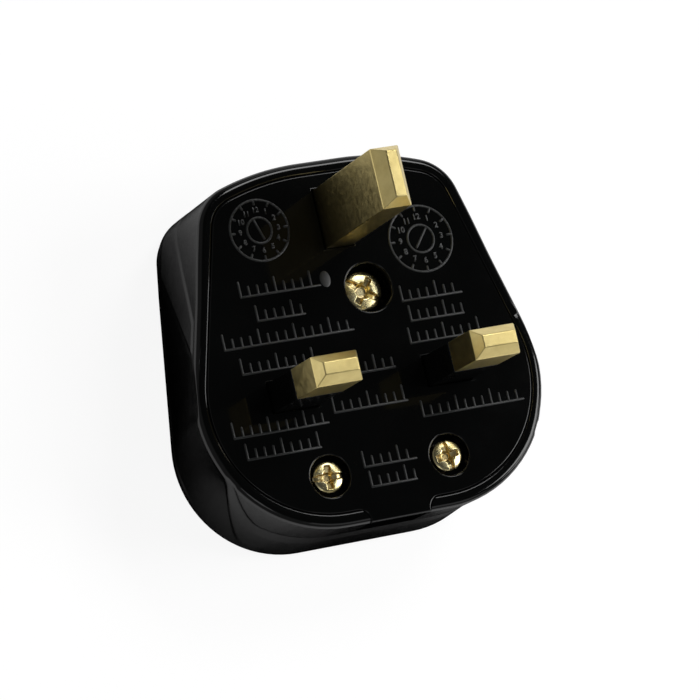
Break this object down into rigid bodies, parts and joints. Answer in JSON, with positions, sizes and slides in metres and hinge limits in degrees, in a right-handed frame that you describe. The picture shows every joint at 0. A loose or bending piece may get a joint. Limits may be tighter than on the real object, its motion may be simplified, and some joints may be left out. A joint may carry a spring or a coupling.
{
  "type": "uk three pin plug",
  "caption": "Rewirable three pin mains plug in black gloss plastic with brass pins, lying on its back with the pins up.",
  "frame": {"origin": "middle of the flat back face, on the line through the live and neutral pins", "axes": "+Z out of the pin face along the pins, +Y towards the earth pin, +X towards the neutral pin"},
  "size_m": [0.0494, 0.0493, 0.0427],
  "materials": {
    "black_plastic": "gloss",
    "sleeve_plastic": "satin",
    "pin_brass": "satin",
    "screw_brass": "polished",
    "clip_bronze": "satin",
    "fuse_ceramic": "satin",
    "fuse_cap_metal": "satin",
    "clamp_fibre": "matt"
  },
  "bodies": {
    "root": {"cover": "black_plastic", "base": "black_plastic", "live_pin_sleeve": "sleeve_plastic", "neutral_pin_sleeve": "sleeve_plastic", "earth_pin": "pin_brass", "live_pin": "pin_brass", "neutral_pin": "pin_brass", "live_terminal": "pin_brass", "cover_screw": "screw_brass", "cord_clamp_screw_live_side": "screw_brass", "cord_clamp_screw_neutral_side": "screw_brass", "cord_clamp_nut_live_side": "screw_brass", "cord_clamp_nut_neutral_side": "screw_brass", "cover_screw_insert": "screw_brass", "earth_terminal_screw": "screw_brass", "live_terminal_screw": "screw_brass", "neutral_terminal_screw": "screw_brass", "fuse_clip_pin_end": "clip_bronze", "fuse_clip_terminal_end": "clip_bronze", "fuse_clip_rivet_pin_end": "clip_bronze", "fuse_clip_rivet_terminal_end": "clip_bronze", "fuse_barrel": "fuse_ceramic", "fuse_cap_pin_end": "fuse_cap_metal", "fuse_cap_terminal_end": "fuse_cap_metal", "fuse_element": "fuse_cap_metal", "cord_clamp_bar": "clamp_fibre", "cover_screw_washer": "clamp_fibre"}
  },
  "joints": []
}
